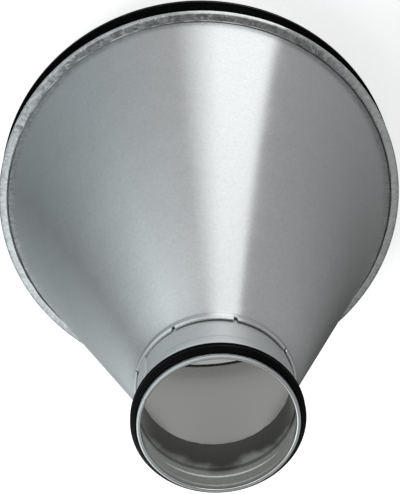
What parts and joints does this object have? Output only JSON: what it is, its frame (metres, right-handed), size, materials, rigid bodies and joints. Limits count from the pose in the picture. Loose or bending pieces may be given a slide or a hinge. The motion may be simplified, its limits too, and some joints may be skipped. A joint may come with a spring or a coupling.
{
  "type": "duct reducer",
  "caption": "Round galvanised sheet duct reducer with a long cone, a large and a small spigot and black rubber lip seals.",
  "frame": {"origin": "centre of the large end's rim, on the plane it stands on", "axes": "+Z along the duct axis, from the large end to the small end"},
  "size_m": [0.2633, 0.2632, 0.2939],
  "materials": {
    "galvanised_sheet": "satin",
    "seal_rubber": "matte"
  },
  "bodies": {
    "root": {"cone_body": "galvanised_sheet", "large_collar": "galvanised_sheet", "small_collar": "galvanised_sheet", "large_seal": "seal_rubber", "small_seal": "seal_rubber"}
  },
  "joints": []
}
